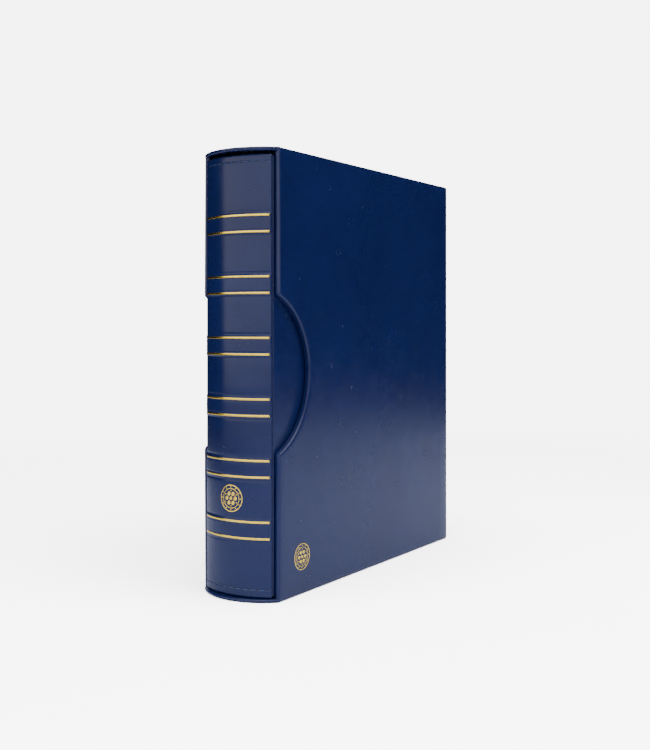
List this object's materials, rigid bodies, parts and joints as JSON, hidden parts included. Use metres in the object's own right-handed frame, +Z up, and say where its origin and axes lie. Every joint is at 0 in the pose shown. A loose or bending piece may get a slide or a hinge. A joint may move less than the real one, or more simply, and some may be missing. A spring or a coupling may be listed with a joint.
{
  "type": "coin album",
  "caption": "Ring-binder coin album with a rounded, gold-lined spine, pocket sheets and a lever-opened ring mechanism, in its slipcase with thumb cut-outs.",
  "frame": {"origin": "centre of the whole object's base, on the surface that the slipcase stands on", "axes": "+Z up; +X out of the slipcase side next to the album's front cover; the album's spine faces -Y and the album slides out along -Y"},
  "size_m": [0.07, 0.2854, 0.33],
  "materials": {
    "leatherette": "smooth satin navy leatherette with a very fine grain",
    "inner_leatherette": "matt navy lining sheet with a fine grain",
    "case_lining": "matt black lining sheet",
    "greyboard": "raw pressed board",
    "gold_foil": "hot-stamped gold foil",
    "ring_steel": "bright nickel-plated steel",
    "sheet_film": "clear soft film with welded seams",
    "pocket_film": "clear soft film",
    "brass_coin": "struck metal, worn on its raised parts",
    "nickel_coin": "struck metal, worn on its raised parts",
    "copper_coin": "struck metal, toned",
    "divider_card": "uncoated cream card"
  },
  "bodies": {
    "slipcase": {"case_wrap": "leatherette", "case_top_skin": "leatherette", "case_bottom_skin": "leatherette", "case_lining": "case_lining", "case_right_board": "greyboard", "case_left_board": "greyboard", "case_top_board": "greyboard", "case_bottom_board": "greyboard", "case_back_board": "greyboard", "case_medallion": "gold_foil"},
    "album": {"album_outer_skin": "leatherette", "album_inner_skin": "inner_leatherette", "front_cover_board": "greyboard", "back_cover_board": "greyboard", "spine_board": "greyboard", "spine_gold_lines": "gold_foil", "spine_medallion": "gold_foil", "ring_rail": "ring_steel", "lever_pins": "ring_steel", "rail_rivets": "ring_steel", "coin_sheet_1": "sheet_film", "pocket_front_1": "pocket_film", "coins_1": "brass_coin", "divider_card_1": "divider_card", "coin_sheet_2": "sheet_film", "pocket_front_2": "pocket_film", "coins_2": "nickel_coin", "divider_card_2": "divider_card", "coin_sheet_3": "sheet_film", "pocket_front_3": "pocket_film", "coins_3": "copper_coin", "divider_card_3": "divider_card"},
    "post_half": {"post_blade": "ring_steel", "ring_post_1": "ring_steel", "ring_post_2": "ring_steel", "ring_post_3": "ring_steel", "ring_post_4": "ring_steel"},
    "hook_half": {"hook_blade": "ring_steel", "ring_hook_1": "ring_steel", "ring_hook_2": "ring_steel", "ring_hook_3": "ring_steel", "ring_hook_4": "ring_steel"},
    "top_lever": {"top_lever": "ring_steel"},
    "bottom_lever": {"bottom_lever": "ring_steel"}
  },
  "joints": [
    {"name": "album_slide", "type": "slide", "parent": "slipcase", "child": "album", "axis": [0, -1, 0], "range_m": [0, 0.285]},
    {"name": "top_lever_pivot", "type": "hinge", "parent": "album", "child": "top_lever", "pos_m": [-0.0235, -0.103, 0.296], "axis": [0, -1, 0], "range_deg": [0, 12]},
    {"name": "bottom_lever_pivot", "type": "hinge", "parent": "album", "child": "bottom_lever", "pos_m": [-0.0235, -0.103, 0.032], "axis": [0, 1, 0], "range_deg": [0, 12]},
    {"name": "post_half_pivot", "type": "hinge", "parent": "album", "child": "post_half", "pos_m": [-0.0235, -0.0926, 0.164], "axis": [0, 0, 1], "range_deg": [0, 12.4]},
    {"name": "hook_half_pivot", "type": "hinge", "parent": "album", "child": "hook_half", "pos_m": [-0.0235, -0.1134, 0.164], "axis": [0, 0, -1], "range_deg": [0, 12.4]}
  ],
  "couplings": [
    {"joint": "bottom_lever_pivot", "follows": "top_lever_pivot", "ratio": 1},
    {"joint": "post_half_pivot", "follows": "top_lever_pivot", "ratio": 1.0333},
    {"joint": "hook_half_pivot", "follows": "top_lever_pivot", "ratio": 1.0333}
  ]
}
